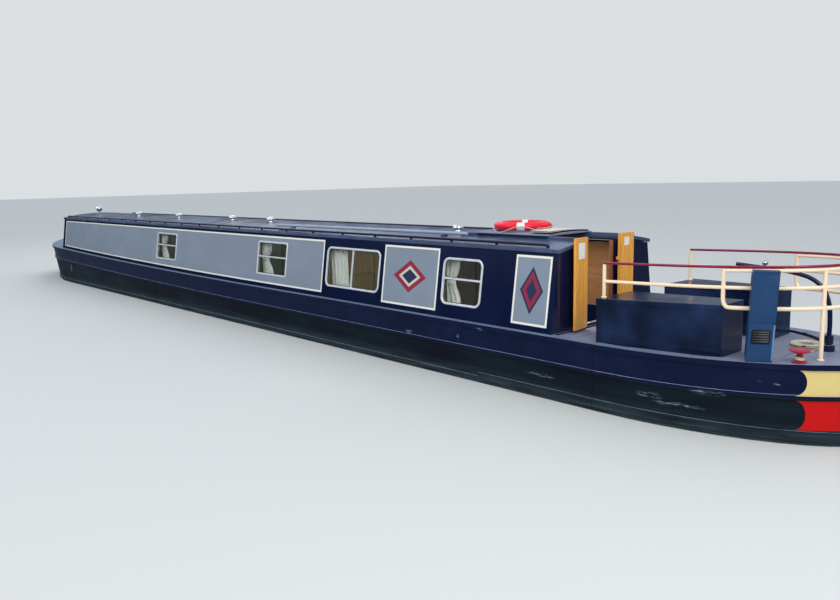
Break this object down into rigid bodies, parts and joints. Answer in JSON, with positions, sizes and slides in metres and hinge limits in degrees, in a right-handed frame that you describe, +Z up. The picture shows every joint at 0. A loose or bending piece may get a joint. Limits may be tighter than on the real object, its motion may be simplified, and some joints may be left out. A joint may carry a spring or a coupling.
{
  "type": "narrowboat",
  "caption": "Steel narrowboat with a long low cabin, oak rear doors, a railed cruiser stern and an open sliding hatch",
  "frame": {"origin": "on the centreline at the waterline, halfway along the hull", "axes": "+X towards the bow, +Y to port, +Z up"},
  "size_m": [20.53, 2.083, 2.344],
  "materials": {
    "hull_paint": "gloss",
    "bottom_blacking": "matte",
    "cream_enamel": "gloss",
    "red_enamel": "gloss",
    "oak": "varnished",
    "deck_board": "non-slip paint",
    "window_aluminium": "satin",
    "bronze": "cast",
    "engine_paint": "painted",
    "lever_steel": "polished",
    "buoy_plastic": "gloss",
    "curtain_cloth": "woven",
    "step_wood": "stained",
    "rope": "laid rope"
  },
  "bodies": {
    "boat": {"hull": "hull_paint", "cabin_side_port": "hull_paint", "cabin_side_starboard": "hull_paint", "roof": "hull_paint", "handrail_port": "hull_paint", "handrail_starboard": "hull_paint", "rear_bulkhead": "hull_paint", "front_bulkhead": "hull_paint", "locker_port": "hull_paint", "locker_starboard": "hull_paint", "control_pedestal": "hull_paint", "skeg": "bottom_blacking", "stern_rail": "cream_enamel", "stern_top_rail": "red_enamel", "bollard_port": "red_enamel", "bollard_starboard": "red_enamel", "bow_stud": "red_enamel", "boat_pole": "oak", "stern_deck": "deck_board", "window_1_port": "window_aluminium", "window_1_starboard": "window_aluminium", "window_2_port": "window_aluminium", "window_2_starboard": "window_aluminium", "window_3_port": "window_aluminium", "window_3_starboard": "window_aluminium", "window_4_port": "window_aluminium", "window_4_starboard": "window_aluminium", "engine": "engine_paint", "control_lever": "lever_steel", "side_rail_port": "cream_enamel", "curtains_port": "curtain_cloth", "curtains_starboard": "curtain_cloth", "cabin_steps": "step_wood", "rope_coil": "rope", "rope_turns": "rope", "rope_lead": "rope", "headlamp": "bronze"},
    "rudder": {"rudder_and_tiller": "hull_paint"},
    "propeller": {"propeller": "bronze"},
    "rear_door_port": {"rear_door_port": "oak"},
    "rear_door_starboard": {"rear_door_starboard": "oak"},
    "front_door_port": {"front_door_port": "hull_paint"},
    "front_door_starboard": {"front_door_starboard": "hull_paint"},
    "hatch": {"sliding_hatch": "hull_paint", "lifebuoy": "buoy_plastic", "folded_cloth": "curtain_cloth"},
    "engine_hatch": {"engine_hatch": "deck_board"},
    "locker_lid_port": {"locker_lid_port": "hull_paint"},
    "locker_lid_starboard": {"locker_lid_starboard": "hull_paint"},
    "gas_locker_lid": {"gas_locker_lid": "hull_paint"}
  },
  "joints": [
    {"name": "rudder_swing", "type": "hinge", "parent": "boat", "child": "rudder", "pos_m": [-9.76, 0, 0], "axis": [0, 0, 1], "range_deg": [-35, 35]},
    {"name": "propeller_spin", "type": "hinge", "parent": "boat", "child": "propeller", "pos_m": [-9.39, 0, -0.3], "axis": [1, 0, 0], "continuous": true},
    {"name": "rear_door_port_swing", "type": "hinge", "parent": "boat", "child": "rear_door_port", "pos_m": [-7.476, 0.42, 1], "axis": [0, 0, 1], "range_deg": [-8, 170]},
    {"name": "rear_door_starboard_swing", "type": "hinge", "parent": "boat", "child": "rear_door_starboard", "pos_m": [-7.476, -0.156, 1], "axis": [0, 0, 1], "range_deg": [-180, 0]},
    {"name": "front_door_port_swing", "type": "hinge", "parent": "boat", "child": "front_door_port", "pos_m": [7.696, 0.316, 0.8], "axis": [0, 0, 1], "range_deg": [0, 170]},
    {"name": "front_door_starboard_swing", "type": "hinge", "parent": "boat", "child": "front_door_starboard", "pos_m": [7.696, -0.316, 0.8], "axis": [0, 0, 1], "range_deg": [-170, 0]},
    {"name": "hatch_slide", "type": "slide", "parent": "boat", "child": "hatch", "axis": [1, 0, 0], "range_m": [-0.438, 0]},
    {"name": "engine_hatch_lift", "type": "hinge", "parent": "boat", "child": "engine_hatch", "pos_m": [-8.76, 0, 0.6523], "axis": [0, -1, 0], "range_deg": [0, 85]},
    {"name": "locker_lid_port_lift", "type": "hinge", "parent": "boat", "child": "locker_lid_port", "pos_m": [-8.55, 0.64, 1.1095], "axis": [-0.9996, 0, 0.0265], "range_deg": [0, 78]},
    {"name": "locker_lid_starboard_lift", "type": "hinge", "parent": "boat", "child": "locker_lid_starboard", "pos_m": [-8.55, -0.64, 1.1095], "axis": [0.9996, 0, -0.0265], "range_deg": [0, 78]},
    {"name": "gas_locker_lid_lift", "type": "hinge", "parent": "boat", "child": "gas_locker_lid", "pos_m": [9.155, 0, 0.858], "axis": [0, -1, 0], "range_deg": [0, 95]}
  ]
}
